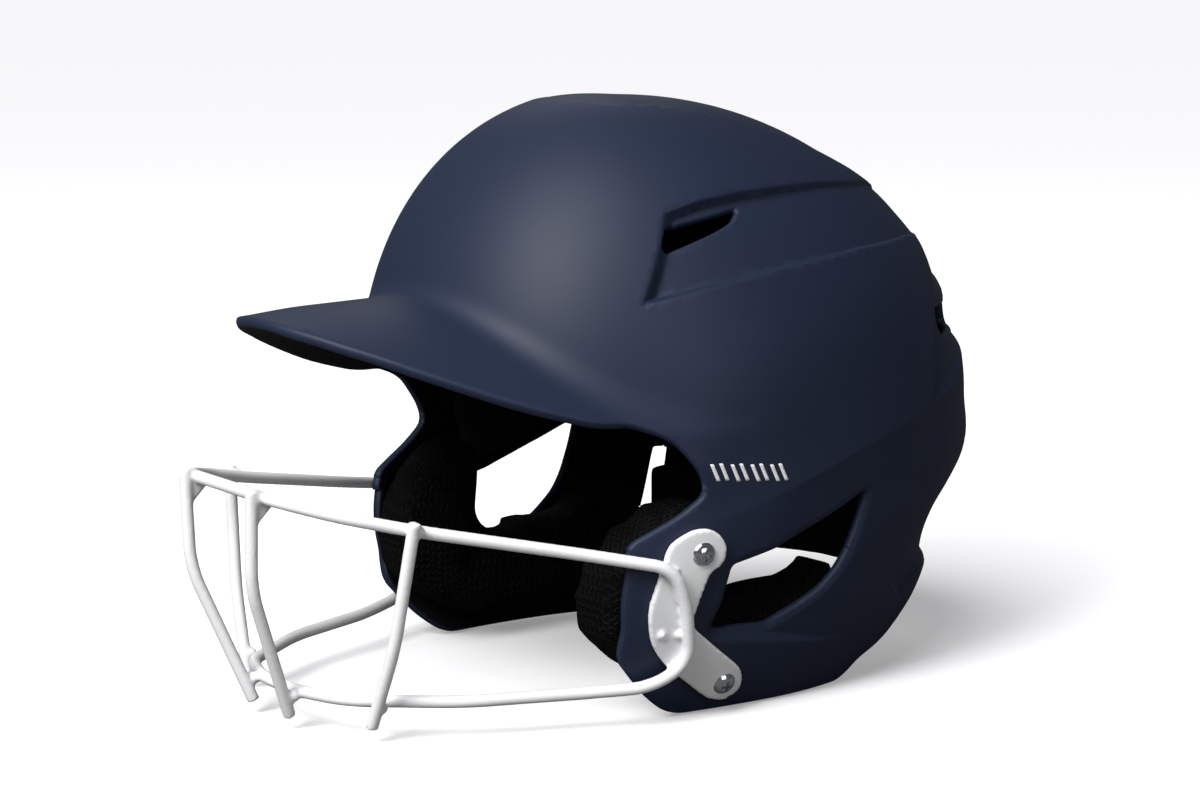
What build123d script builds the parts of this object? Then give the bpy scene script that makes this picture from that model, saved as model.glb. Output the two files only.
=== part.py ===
from build123d import *
import math
import os

# Softball batting helmet with a bolted wire face guard.
# Millimetres. +Z up, the wearer looks along -Y, the wearer's left is +X.
# The level lower edges of the two ear flaps stand on Z = 0.

# ---- shell ----
half_width = 104.0          # at the widest level
front_reach = 108.0         # dome centre to forehead
rear_reach = 142.0          # dome centre to back of head
dome_centre_y = 23.3
crown_lean = 11.4           # the crown sits this much ahead of the dome centre
dome_base_z = 105.3
dome_height = 123.2
dome_power = 2.04           # roundness of the dome in side view
plan_power = 2.1            # roundness of the dome in plan
wall = 4.0

# half-width, rear reach and front reach of the skirt at falling levels
skirt_levels = [
    (88.0, 0.995, 1.015, 1.12),
    (70.0, 0.980, 0.965, 1.25),
    (50.0, 0.947, 0.885, 1.36),
    (34.0, 0.912, 0.865, 1.39),
    (18.0, 0.858, 0.805, 1.39),
    (0.0, 0.780, 0.700, 1.39),
    (-6.0, 0.750, 0.660, 1.39),
]

# ---- visor ----
visor_crest_z = 155.9       # top of the arch on the middle line, above Y = 0
visor_tilt = 0.03           # drop per millimetre toward the front
visor_arch = 0.005          # drop per square millimetre of sideways distance
visor_thick = 4.0
visor_spare = 1.5
visor_plan = [(0.0, -145.5), (22.0, -142.0), (40.0, -132.0), (56.0, -116.5), (68.0, -100.0),
              (78.0, -83.0), (86.0, -63.5), (92.0, -44.0), (94.5, -27.0)]

# ---- openings in side view, (y, z) ----
face_edge = [(-27.0, 104.0), (-21.9, 98.7), (-18.0, 93.0), (-16.4, 86.5), (-25.9, 79.6),
             (-42.9, 70.8), (-45.6, 67.0), (-49.9, 55.8), (-52.4, 47.0), (-53.2, 37.0),
             (-51.5, 33.0), (-39.1, 18.6), (-31.0, 9.5), (-21.7, 2.5), (-15.0, 0.0)]
rear_edge = [(66.0, 0.0), (71.0, 2.5), (76.0, 7.0), (94.0, 12.0), (112.0, 24.0), (170.0, 33.0)]
ear_window = [(-2.8, 58.2), (16.0, 62.5), (44.0, 72.8), (59.0, 79.0), (56.5, 70.0),
              (51.6, 58.1), (46.6, 50.9), (38.6, 44.2), (29.8, 38.7), (17.1, 33.0), (-7.2, 34.5)]
top_vent = [(-17.6, 180.9), (-12.2, 183.9), (15.3, 188.6), (11.1, 185.0), (6.3, 183.1),
            (-20.5, 174.4)]
side_vent = [(95.0, 66.0), (101.0, 66.0), (92.0, 40.0), (85.0, 40.0)]
rear_vent_inner_x = 40.0
rear_vent_outer_x = 76.0
rear_vent_z = 137.0
rear_vent_height = 13.0

# ---- face guard ----
wire_radius = 2.5
weld_gap = 0.05
bow_gap = 1.2               # the plate bows out this much between the loop's corners
plate_thick = 3.0
loop_bend = 8.0
# corners of the loop from the front top to the front foot; side ones are (y, z)
loop_front = [(0.0, -157.4, 89.9), (32.0, -156.8, 89.6), (52.0, -141.0, 85.0), (63.5, -117.0, 79.2),
              (84.5, -62.0, 68.0)]
loop_side = [(-32.0, 61.8), (-25.5, 48.0), (-20.5, 25.0), (-33.0, 15.8)]
loop_bottom = [(77.0, -56.0, 14.4), (61.5, -97.0, 14.0), (36.0, -130.0, 14.0),
               (13.0, -138.3, 14.0), (0.0, -138.3, 14.0)]
centre_bar = [(25.5, -162.1, 93.0), (23.3, -161.6, 56.5), (13.6, -141.6, 5.0)]
side_bar = [(68.2, -120.8, 83.5), (58.9, -124.0, 37.0), (46.4, -126.4, 5.5)]
drawn_wire_radius = 2.5     # the bars are drawn touching the loop at this radius
centre_bar_step = (0.0, -1.1)       # and move this way, (x, y), by each millimetre of
side_bar_step = (1.0, -0.5)         # added wire diameter
plate_outline = [(-16.9, 75.1), (-11.7, 72.8), (-8.7, 68.0), (-8.4, 64.2), (-10.1, 60.6),
                 (-14.4, 58.4), (-17.0, 49.9), (-19.3, 40.4), (-17.9, 37.1), (-6.2, 27.7),
                 (5.4, 19.0), (7.6, 15.3), (8.7, 10.0), (2.1, 5.5), (-6.2, 8.0),
                 (-14.6, 14.3), (-24.2, 21.3), (-30.7, 27.8), (-34.7, 34.2), (-36.8, 45.3),
                 (-33.3, 58.9), (-32.0, 64.8), (-30.7, 68.8), (-27.7, 71.5), (-22.2, 74.4)]
web_leg = 8.0
web_thick = 1.6
bar_lean = 0.5              # the web stands this clear of the leaning bar
bar_bend = 14.0

# ---- fasteners ----
screw_spots = [("upper", -17.6, 65.6), ("lower", 0.0, 13.5)]
screw_radius = 2.4
screw_clearance = 0.2
head_radius = 4.6
head_rim = 0.7
head_height = 2.7
head_seat = 2.4             # height of the head's seat above the shell skin
cross_depth = 1.5
cross_width = 1.1
cross_length = 4.6
nut_seat = 3.4              # depth of the washer's seat under the shell skin
washer_thick = 0.8
nut_flange_radius = 7.5
nut_flange_thick = 1.4
nut_barrel_radius = 3.6
nut_barrel_top = 0.6
fit_gap = 0.05
nut_pocket_gap = 0.8
nut_reach = 2.2             # screw length past the washer's seat

# ---- liner ----
foam_gap = 0.3
foam_thick = 11.0
ear_foam_thick = 6.0
jaw_thick = 25.0
jaw_outline = [(-50.0, 33.0), (-51.0, 47.0), (-47.0, 59.0), (-39.0, 72.0), (-25.0, 83.0),
               (-13.0, 86.0), (-5.0, 80.0), (-6.0, 58.0), (-8.5, 31.5), (17.5, 30.0),
               (31.0, 35.5), (42.0, 42.0), (54.0, 52.0), (62.0, 36.0), (58.0, 12.0), (20.0, 8.0),
               (-12.0, 9.0), (-34.0, 19.0)]
jaw_core_depth = 9.0        # past this depth the jaw pad also stands up behind the window
jaw_core = [(-10.0, 30.0), (-8.0, 46.0), (8.7, 46.0), (23.8, 47.2), (38.2, 47.2), (51.9, 46.6),
            (58.0, 43.0), (60.0, 30.0)]
ear_outline = [(4.0, 66.0), (16.0, 69.0), (44.0, 79.0), (66.0, 88.0), (72.0, 104.0),
               (0.0, 104.0), (-4.0, 92.0)]
# foam blocks cut from the liner ring: name, low corner, high corner
liner_blocks = [
    ("front_pad", (-60.0, -120.0, 162.0), (60.0, -46.0, 190.0)),
    ("crown_pad", (-42.0, -30.0, 170.0), (42.0, 62.0, 240.0)),
    ("rear_pad", (-56.0, 95.0, 66.0), (56.0, 200.0, 126.0)),
    ("nape_pad", (-78.0, 84.0, 26.0), (78.0, 200.0, 62.0)),
]
side_block = ("side_pad", (60.0, -18.0, 112.0), (130.0, 84.0, 162.0))

# ---- side mark: slanted bars on a base line, (y, z) ----
mark_thick = 0.25
mark_front = (-12.5, 91.5)
mark_drop = 0.09            # fall of the base line per millimetre toward the back
mark_bars = 4
mark_pitch = 8.4
mark_bar = 5.2
mark_height = 6.5
mark_slant = 3.0
mark_base = 1.0


def level(z, offset):
    """Half-width, front reach, rear reach and centre of the body at one level."""
    rise = min(max((z - dome_base_z) / (dome_height + offset), 0.0), 1.0)
    shrink = (1.0 - rise ** dome_power) ** (1.0 / dome_power)
    width, rear, front = 1.0, 1.0, 1.0
    rows = [(dome_base_z, 1.0, 1.0, 1.0)] + skirt_levels
    for above, below in zip(rows, rows[1:]):
        if below[0] <= z < above[0]:
            mix = (above[0] - z) / (above[0] - below[0])
            width, rear, front = [a + (b - a) * mix for a, b in zip(above[1:], below[1:])]
    centre = dome_centre_y - crown_lean * rise ** 1.5
    return ((half_width * width + offset) * shrink, (front_reach * front + offset) * shrink,
            (rear_reach * rear + offset) * shrink, centre)


def outline(z, offset, count=28):
    """Points of one level curve, the seam at the back."""
    half, front, rear, centre = level(z, offset)
    points = []
    for step in range(count):
        turn = math.pi / 2 + 2 * math.pi * step / count
        c, s = math.cos(turn), math.sin(turn)
        reach = (abs(c) ** plan_power + abs(s) ** plan_power) ** (-1.0 / plan_power)
        length = rear if s > 0 else front
        points.append((half * reach * c, centre + length * reach * s))
    return points


def body_levels(offset):
    rises = [0.0, 0.16, 0.32, 0.47, 0.61, 0.74, 0.85, 0.93, 0.975, 0.996]
    top = [dome_base_z + (dome_height + offset) * rise for rise in rises]
    return [row[0] for row in reversed(skirt_levels)] + top


def body(offset):
    """The closed head form, grown or shrunk by an offset."""
    with BuildPart() as form:
        for z in body_levels(offset):
            with BuildSketch(Plane.XY.offset(z)):
                with BuildLine():
                    Spline(*outline(z, offset), periodic=True)
                make_face()
        loft()
    return form.part


def skin_x(y, z, offset=0.0):
    """Sideways place of the body surface at a side-view point."""
    half, front, rear, centre = level(z, offset)
    length = rear if y > centre else front
    share = 1.0 - (abs(y - centre) / length) ** plan_power
    return half * share ** (1.0 / plan_power)


def skin_plane(y, z, side, offset=0.0):
    """A plane lying on the body, its normal outward."""
    step = 1.5
    slope_y = (skin_x(y + step, z, offset) - skin_x(y - step, z, offset)) / (2 * step)
    slope_z = (skin_x(y, z + step, offset) - skin_x(y, z - step, offset)) / (2 * step)
    return Plane(origin=(side * skin_x(y, z, offset), y, z),
                 x_dir=(side * slope_y, 1.0, 0.0), z_dir=(side, -slope_y, -slope_z))


def side_prism(points, near, far):
    """A side-view outline carried along X between two distances."""
    with BuildPart() as prism:
        with BuildSketch(Plane.YZ.offset(near)):
            with BuildLine():
                Polyline(*points, close=True)
            make_face()
        extrude(amount=far - near)
    return prism.part


def both_sides(solid):
    return [solid, mirror(solid, about=Plane.YZ)]


reach_far = 260.0
outside = body(0.0)
inside = body(-wall)
plate_skin = body(plate_thick)


# ---- visor blank: arch band cut to its plan outline ----
def arch_band(low, high, front_y, back_y, span=120.0, count=9):
    """The band between two arch heights, carried forward along the visor's tilt."""
    high = high + visor_tilt * back_y
    with BuildPart() as band:
        with BuildSketch(Plane.XZ.offset(-back_y)):
            with BuildLine():
                xs = [span * (2 * step / (count - 1) - 1) for step in range(count)]
                top = Spline(*[(x, high - visor_arch * x * x) for x in xs])
                if low is None:
                    foot = Polyline((span, -30.0), (-span, -30.0))
                else:
                    low_here = low + visor_tilt * back_y
                    foot = Spline(*[(-x, low_here - visor_arch * x * x) for x in xs])
                Line(top @ 1, foot @ 0)
                Line(foot @ 1, top @ 0)
            make_face()
        extrude(amount=back_y - front_y, dir=(0.0, -1.0, -visor_tilt))
    return band.part


with BuildPart() as visor_outline:
    with BuildSketch(Plane.XY.offset(90.0)):
        with BuildLine():
            right = Spline(*visor_plan[1:])
            left = Spline(*[(-x, y) for x, y in visor_plan[1:]])
            ThreePointArc(left @ 0, visor_plan[0], right @ 0)
            Polyline(right @ 1, (60.0, 10.0), (-60.0, 10.0), left @ 1)
        make_face()
    extrude(amount=80.0)
visor_low = visor_crest_z - visor_thick
# the blank is thicker than the visor: the face cut leaves the finished underside
visor = arch_band(visor_low - visor_spare, visor_crest_z, -170.0, 20.0) & visor_outline.part
face_prism = side_prism([(-27.0, 200.0)] + face_edge + [(-15.0, -20.0), (-260.0, -20.0),
                                                       (-260.0, 200.0)], -reach_far, reach_far)
face_cut = face_prism & arch_band(None, visor_low, -260.0, 60.0, span=150.0)
under_cut = side_prism(rear_edge + [(260.0, 33.0), (260.0, -20.0), (-15.0, -20.0), (-15.0, 0.0)],
                       -reach_far, reach_far)


def place(solid, y, z, side):
    """Carry a part built on the origin to a screw spot of one side."""
    return solid.moved(skin_plane(y, z, side).location)


def cylinder_between(radius, low, high):
    middle = Location((0, 0, (low + high) / 2))
    return Cylinder(radius, high - low, mode=Mode.PRIVATE).moved(middle)


barrel_hole = cylinder_between(nut_barrel_radius + fit_gap, -20.0, 20.0)
washer_recess = cylinder_between(nut_flange_radius + screw_clearance, -20.0, -nut_seat)

with BuildPart() as outer_shell:
    add(outside)
    add(visor)
    add(inside, mode=Mode.SUBTRACT)
    add(face_cut, mode=Mode.SUBTRACT)
    add(under_cut, mode=Mode.SUBTRACT)
    for points in (ear_window, top_vent, side_vent):
        for cutter in both_sides(side_prism(points, 40.0, 130.0)):
            add(cutter, mode=Mode.SUBTRACT)
    rear_x = (rear_vent_inner_x + rear_vent_outer_x) / 2
    with Locations((rear_x, 120.0, rear_vent_z), (-rear_x, 120.0, rear_vent_z)):
        Box(rear_vent_outer_x - rear_vent_inner_x, 80.0, rear_vent_height, mode=Mode.SUBTRACT)
    for spot, y, z in screw_spots:
        for side in (1, -1):
            add(place(barrel_hole, y, z, side), mode=Mode.SUBTRACT)
            add(place(washer_recess, y, z, side), mode=Mode.SUBTRACT)


# ---- face guard ----
def rod(points, bend):
    """A round wire with straight legs and rounded corners."""
    with BuildPart() as wire:
        with BuildLine() as path:
            FilletPolyline(*points, radius=bend)
        line = path.wires()[0]
        with BuildSketch(Plane(origin=line @ 0, z_dir=line % 0)):
            Circle(wire_radius)
        sweep(path=line)
    return wire.part


side_lift = plate_thick + wire_radius + bow_gap
side_run = [(skin_x(y, z) + side_lift, y, z) for y, z in loop_side]
with BuildPart() as guard_loop:
    add(rod(loop_front + side_run + loop_bottom, loop_bend))
    mirror(about=Plane.YZ)



def stepped(points, step):
    """A bar's points moved off the loop by the added wire diameter."""
    more = 2 * (wire_radius - drawn_wire_radius)
    return [(x + step[0] * more, y + step[1] * more, z) for x, y, z in points]


with BuildPart() as guard_bar_centre_left:
    add(rod(stepped(centre_bar, centre_bar_step), bar_bend))
with BuildPart() as guard_bar_side_left:
    add(rod(stepped(side_bar, side_bar_step), bar_bend))

plate_seat = body(fit_gap)
with BuildPart() as guard_plate_left:
    add(plate_skin & side_prism(plate_outline, 60.0, 130.0))
    add(plate_seat, mode=Mode.SUBTRACT)
    for spot, y, z in screw_spots:
        shank_hole = cylinder_between(screw_radius + screw_clearance, -20.0, 20.0)
        head_recess = cylinder_between(head_radius + screw_clearance, head_seat, 20.0)
        add(place(shank_hole, y, z, 1), mode=Mode.SUBTRACT)
        add(place(head_recess, y, z, 1), mode=Mode.SUBTRACT)

# triangular web in the corner between a centre bar and the loop
bar_top = stepped(centre_bar, centre_bar_step)[0]
web_y = bar_top[1] + wire_radius + bar_lean
web_z = loop_front[1][2] - wire_radius - weld_gap
with BuildPart() as guard_web_left:
    with BuildSketch(Plane.YZ.offset(bar_top[0] - web_thick)):
        with BuildLine():
            Polyline((web_y, web_z), (web_y + web_leg, web_z), (web_y, web_z - web_leg), close=True)
        make_face()
    extrude(amount=web_thick)

# ---- screws, washers and tee nuts, built on the origin ----
with BuildPart() as screw_blank:
    with BuildSketch(Plane.XZ):
        with BuildLine():
            Polyline((0, head_height), (0, 0), (head_radius, 0), (head_radius, head_rim))
            crown_half = (head_radius * 0.62, head_height * 0.82)
            ThreePointArc((head_radius, head_rim), crown_half, (0, head_height))
        make_face()
    revolve(axis=Axis.Z)
    with Locations((0, 0, -(head_seat + nut_seat + nut_reach) / 2)):
        Cylinder(screw_radius, head_seat + nut_seat + nut_reach)
    with Locations((0, 0, head_height)):
        Box(cross_length, cross_width, 2 * cross_depth, mode=Mode.SUBTRACT)
        Box(cross_width, cross_length, 2 * cross_depth, mode=Mode.SUBTRACT)

washer_top = -nut_seat - fit_gap
flange_top = washer_top - washer_thick - fit_gap
with BuildPart() as washer_blank:
    add(cylinder_between(nut_flange_radius, washer_top - washer_thick, washer_top))
    add(cylinder_between(nut_barrel_radius + fit_gap, -20.0, 20.0), mode=Mode.SUBTRACT)
with BuildPart() as nut_blank:
    add(cylinder_between(nut_flange_radius, flange_top - nut_flange_thick, flange_top))
    add(cylinder_between(nut_barrel_radius, flange_top, -nut_barrel_top))
    add(cylinder_between(screw_radius + fit_gap, -20.0, 20.0), mode=Mode.SUBTRACT)

# ---- liner foam ----
foam_outside = body(-wall - foam_gap)
foam_ring = foam_outside - body(-wall - foam_gap - foam_thick)
ear_ring = foam_outside - body(-wall - foam_gap - ear_foam_thick)
jaw_inside = body(-wall - foam_gap - jaw_thick)
jaw_ring = foam_outside - jaw_inside
core_ring = body(-wall - foam_gap - jaw_core_depth) - jaw_inside
pocket_top = washer_top + fit_gap
pocket_foot = flange_top - nut_flange_thick - nut_pocket_gap
nut_pocket = cylinder_between(nut_flange_radius + nut_pocket_gap, pocket_foot, pocket_top)

with BuildPart() as jaw_pad_left:
    add(jaw_ring & side_prism(jaw_outline, 30.0, 130.0))
    add(core_ring & side_prism(jaw_core, 30.0, 130.0))
    for spot, y, z in screw_spots:
        add(place(nut_pocket, y, z, 1), mode=Mode.SUBTRACT)
with BuildPart() as ear_pad_left:
    add(ear_ring & side_prism(ear_outline, 30.0, 130.0))


def foam_block(low, high):
    size = [b - a for a, b in zip(low, high)]
    middle = [(a + b) / 2 for a, b in zip(low, high)]
    return foam_ring & Box(*size, mode=Mode.PRIVATE).moved(Location(middle))


with BuildPart() as side_pad_left:
    add(foam_block(side_block[1], side_block[2]))

# ---- mark on the left side ----
mark_top = []
for step in range(mark_bars):
    front = mark_front[0] + step * mark_pitch
    foot = mark_front[1] - mark_drop * (front - mark_front[0])
    mark_top += [(front, foot + mark_base), (front - mark_slant, foot + mark_height),
                 (front - mark_slant + mark_bar, foot + mark_height),
                 (front + mark_bar, foot + mark_base)]
mark_end = (front + mark_bar, foot)
with BuildPart() as side_mark_left:
    add(body(fit_gap + mark_thick) & side_prism([mark_front] + mark_top + [mark_end], 60.0, 130.0))
    add(plate_seat, mode=Mode.SUBTRACT)

# ---- gather, mirror and write ----
pieces = {"outer_shell": outer_shell.part, "guard_loop": guard_loop.part}
for name, low, high in liner_blocks:
    pieces[name] = foam_block(low, high)
left_pieces = {"guard_bar_centre": guard_bar_centre_left, "guard_bar_side": guard_bar_side_left,
               "guard_plate": guard_plate_left, "guard_web": guard_web_left,
               "jaw_pad": jaw_pad_left, "ear_pad": ear_pad_left, "side_pad": side_pad_left,
               "side_mark": side_mark_left}
for name, built in left_pieces.items():
    pieces[name + "_left"], pieces[name + "_right"] = both_sides(built.part)
for spot, y, z in screw_spots:
    for side, hand in ((1, "left"), (-1, "right")):
        seated = screw_blank.part.moved(Location((0, 0, head_seat + fit_gap)))
        pieces[f"screw_{spot}_{hand}"] = place(seated, y, z, side)
        pieces[f"washer_{spot}_{hand}"] = place(washer_blank.part, y, z, side)
        pieces[f"tee_nut_{spot}_{hand}"] = place(nut_blank.part, y, z, side)

# the row's origin is under the middle of the whole length
boxes = [solid.bounding_box() for solid in pieces.values()]
middle_y = (min(box.min.Y for box in boxes) + max(box.max.Y for box in boxes)) / 2

os.makedirs("parts", exist_ok=True)
for name, solid in pieces.items():
    centred = solid.moved(Location((0, -middle_y, 0)))
    centred.label = name
    export_step(centred, f"parts/{name}.step")
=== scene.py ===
import bpy
import bmesh
import math
import numpy as np
from mathutils import Matrix, Vector
from mathutils.bvhtree import BVHTree


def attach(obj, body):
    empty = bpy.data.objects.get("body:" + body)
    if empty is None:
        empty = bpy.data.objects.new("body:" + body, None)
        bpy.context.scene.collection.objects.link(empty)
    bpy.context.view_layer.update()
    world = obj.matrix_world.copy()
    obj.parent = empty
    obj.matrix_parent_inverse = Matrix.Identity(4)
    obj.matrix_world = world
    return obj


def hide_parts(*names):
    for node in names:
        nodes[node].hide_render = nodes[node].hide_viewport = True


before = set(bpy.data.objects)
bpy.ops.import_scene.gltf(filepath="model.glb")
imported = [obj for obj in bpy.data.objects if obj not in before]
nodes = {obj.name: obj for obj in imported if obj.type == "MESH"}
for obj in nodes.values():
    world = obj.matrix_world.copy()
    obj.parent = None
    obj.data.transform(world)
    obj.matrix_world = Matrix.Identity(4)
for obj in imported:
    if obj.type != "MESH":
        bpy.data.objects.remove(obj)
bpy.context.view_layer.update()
scene = bpy.context.scene
millimetre = 0.001      # everything below is drawn in millimetres and made metres at the end
shift = 1.45            # the solids were centred by this much along Y


# ---- camera, floor and light ----
studio = dict(
    aim=(0.0, 0.00455, 0.1063), turn=55.0, rise=9.2, distance=1.17, lens=89.86,
    floorSize=40.0, skyWhite=1.0, skyLight=0.10,
    sun=(20.0, 58.0, 2.6, 40.0),
    # turn, rise, distance, width, height, watts
    lamps=dict(key=(16.0, 34.0, 1.6, 0.8, 0.7, 26.0), side=(84.0, 14.0, 1.6, 0.8, 0.7, 5.0),
               back=(240.0, 35.0, 2.0, 0.7, 0.7, 2.0)))


def outFrom(turn, rise):
    turn, rise = math.radians(turn), math.radians(rise)
    return Vector((math.sin(turn) * math.cos(rise), -math.cos(turn) * math.cos(rise), math.sin(rise)))


def setCamera():
    camera = bpy.data.objects.new("camera", bpy.data.cameras.new("camera"))
    camera.data.lens = studio["lens"]
    camera.data.sensor_width = 36.0
    camera.data.clip_start = 0.05
    direction = outFrom(studio["turn"], studio["rise"])
    camera.location = Vector(studio["aim"]) + direction * studio["distance"]
    camera.rotation_mode = "QUATERNION"
    camera.rotation_quaternion = direction.to_track_quat("Z", "Y")
    scene.collection.objects.link(camera)
    scene.camera = camera


def setLamps():
    for name, (turn, rise, distance, width, height, watts) in studio["lamps"].items():
        lamp = bpy.data.lights.new(name + "Lamp", "AREA")
        lamp.shape = "RECTANGLE"
        lamp.size = width
        lamp.size_y = height
        lamp.energy = watts
        holder = bpy.data.objects.new(name + "Lamp", lamp)
        direction = outFrom(turn, rise)
        holder.location = Vector(studio["aim"]) + direction * distance
        holder.rotation_euler = direction.to_track_quat("Z", "Y").to_euler()
        scene.collection.objects.link(holder)


# an even, very wide sun keeps the floor the same pale tone out to the horizon
def setSun():
    turn, rise, strength, spread = studio["sun"]
    lamp = bpy.data.lights.new("ceilingLight", "SUN")
    lamp.energy = strength
    lamp.angle = math.radians(spread)
    holder = bpy.data.objects.new("ceilingLight", lamp)
    holder.rotation_euler = outFrom(turn, rise).to_track_quat("Z", "Y").to_euler()
    scene.collection.objects.link(holder)


# white behind the object, dim as a light
def setSky():
    world = bpy.data.worlds.new("studioSky")
    scene.world = world
    world.use_nodes = True
    tree = world.node_tree
    tree.nodes.clear()
    ray = tree.nodes.new("ShaderNodeLightPath")
    both = tree.nodes.new("ShaderNodeMixShader")
    out = tree.nodes.new("ShaderNodeOutputWorld")
    tree.links.new(ray.outputs["Is Camera Ray"], both.inputs[0])
    for socket, strength, colour in ((1, studio["skyLight"], (0.93, 0.96, 1.0, 1.0)),
                                     (2, studio["skyWhite"], (1.0, 1.0, 1.0, 1.0))):
        sky = tree.nodes.new("ShaderNodeBackground")
        sky.inputs["Strength"].default_value = strength
        sky.inputs["Color"].default_value = colour
        tree.links.new(sky.outputs[0], both.inputs[socket])
    tree.links.new(both.outputs[0], out.inputs[0])


def setFloor():
    bm = bmesh.new()
    bmesh.ops.create_grid(bm, x_segments=2, y_segments=2, size=studio["floorSize"] / 2)
    floor = bpy.data.objects.new("floor", bpy.data.meshes.new("floor"))
    bm.to_mesh(floor.data)
    bm.free()
    floor.data.materials.append(floorPaper())
    scene.collection.objects.link(floor)


# ---- shader writing: sockets that take sums ----
class Wire:
    def __init__(self, paint, socket):
        self.paint = paint
        self.socket = socket

    def math(self, operation, first, second):
        return self.paint.node("ShaderNodeMath", dict(operation=operation), {0: first, 1: second})[0]

    def __add__(self, other):
        return self.math("ADD", self, other)

    def __radd__(self, other):
        return self.math("ADD", other, self)

    def __sub__(self, other):
        return self.math("SUBTRACT", self, other)

    def __rsub__(self, other):
        return self.math("SUBTRACT", other, self)

    def __mul__(self, other):
        return self.math("MULTIPLY", self, other)

    def __rmul__(self, other):
        return self.math("MULTIPLY", other, self)

    def __truediv__(self, other):
        return self.math("DIVIDE", self, other)

    def __pow__(self, other):
        return self.math("POWER", self, other)


class Paint:
    def __init__(self, name, **constants):
        self.material = bpy.data.materials.new(name)
        self.material.use_nodes = True
        self.tree = self.material.node_tree
        self.tree.nodes.clear()
        self.shader = self.tree.nodes.new("ShaderNodeBsdfPrincipled")
        self.output = self.tree.nodes.new("ShaderNodeOutputMaterial")
        self.tree.links.new(self.shader.outputs[0], self.output.inputs[0])
        for socket, value in constants.items():
            self.set(socket, value)

    def node(self, kind, settings=None, sockets=None):
        made = self.tree.nodes.new(kind)
        for key, value in (settings or {}).items():
            if key == "stops":
                while len(made.color_ramp.elements) < len(value):
                    made.color_ramp.elements.new(0.5)
                for element, (place, shade) in zip(made.color_ramp.elements, value):
                    element.position = place
                    element.color = (shade, shade, shade, 1.0)
            else:
                setattr(made, key, value)
        for key, value in (sockets or {}).items():
            if isinstance(value, Wire):
                self.tree.links.new(value.socket, made.inputs[key])
            else:
                made.inputs[key].default_value = value
        return [Wire(self, socket) for socket in made.outputs]

    def set(self, socket, value):
        socket = {"color": "Base Color", "roughness": "Roughness", "metallic": "Metallic",
                  "specular": "Specular IOR Level", "coat": "Coat Weight", "normal": "Normal",
                  "coatRoughness": "Coat Roughness", "sheen": "Sheen Weight",
                  "sheenRoughness": "Sheen Roughness", "glow": "Emission Color",
                  "glowStrength": "Emission Strength"}[socket]
        if isinstance(value, Wire):
            self.tree.links.new(value.socket, self.shader.inputs[socket])
        else:
            self.shader.inputs[socket].default_value = value

    def place(self):
        return self.node("ShaderNodeTexCoord")[3]

    def noise(self, scale, detail=3.0, rough=0.55, vector=None):
        return self.node("ShaderNodeTexNoise", {}, {"Vector": vector or self.place(), "Scale": scale,
                                                    "Detail": detail, "Roughness": rough})[0]

    def ramp(self, value, *stops):
        return self.node("ShaderNodeValToRGB", dict(stops=stops), {0: value})[0]

    def blend(self, share, first, second):
        made = self.tree.nodes.new("ShaderNodeMix")
        made.data_type = "RGBA"
        for key, value in ((0, share), (6, first), (7, second)):
            if isinstance(value, Wire):
                self.tree.links.new(value.socket, made.inputs[key])
            else:
                made.inputs[key].default_value = value
        return Wire(self, made.outputs[2])

    def bump(self, height, strength, depth):
        return self.node("ShaderNodeBump", {}, {"Height": height, "Strength": strength,
                                                "Distance": depth})[0]


finishes = dict(
    navy=(0.0125, 0.0190, 0.0430, 1.0), navyDeep=(0.0095, 0.0147, 0.0340, 1.0),
    navyRub=(0.0280, 0.0370, 0.0640, 1.0),
    white=(0.74, 0.745, 0.75, 1.0), whiteDull=(0.65, 0.655, 0.665, 1.0),
    black=(0.0028, 0.0029, 0.0033, 1.0), blackLight=(0.0060, 0.0062, 0.0070, 1.0),
    thread=(0.0075, 0.0077, 0.0086, 1.0), hollow=(0.0006, 0.0006, 0.0007, 1.0),
    foam=(0.0060, 0.0062, 0.0068, 1.0), foamLight=(0.0110, 0.0112, 0.0122, 1.0),
    chrome=(0.78, 0.79, 0.80, 1.0), chromeDull=(0.62, 0.63, 0.65, 1.0),
    zinc=(0.42, 0.42, 0.43, 1.0), zincDull=(0.26, 0.26, 0.27, 1.0),
    rubber=(0.0120, 0.0120, 0.0125, 1.0), floor=(0.86, 0.86, 0.87, 1.0), floorDull=(0.10, 0.10, 0.10, 1.0))


def softTouchPaint():
    paint = Paint("softTouchPaint", specular=0.24)
    cloud = paint.noise(9.0, 4.0)
    speck = paint.noise(2600.0, 2.0)
    scuff = paint.ramp(paint.noise(46.0, 6.0, 0.7), (0.0, 0.0), (0.66, 0.0), (0.78, 1.0))
    tone = paint.blend(cloud, finishes["navyDeep"], finishes["navy"])
    paint.set("color", paint.blend(scuff * speck * 0.16, tone, finishes["navyRub"]))
    paint.set("roughness", 0.46 + speck * 0.10 + cloud * 0.05 + scuff * 0.04)
    paint.set("normal", paint.bump(speck + paint.noise(420.0, 2.0) * 0.5, 0.16, 0.00012))
    return paint.material


def insidePlastic():
    paint = Paint("insidePlastic", specular=0.10)
    grain = paint.noise(900.0, 3.0)
    paint.set("color", paint.blend(paint.noise(24.0, 4.0), finishes["black"], finishes["blackLight"]))
    paint.set("roughness", 0.52 + grain * 0.22)
    paint.set("normal", paint.bump(grain, 0.25, 0.0002))
    return paint.material


def powderCoat():
    paint = Paint("powderCoat", specular=0.5)
    peel = paint.noise(620.0, 2.0)
    cloud = paint.noise(30.0, 4.0)
    paint.set("color", paint.blend(cloud * 0.6, finishes["white"], finishes["whiteDull"]))
    paint.set("roughness", 0.26 + peel * 0.10 + cloud * 0.06)
    paint.set("normal", paint.bump(peel, 0.18, 0.00025))
    return paint.material


meshCell = 0.0029       # one knitted cell of the pad cloth, in metres


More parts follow.
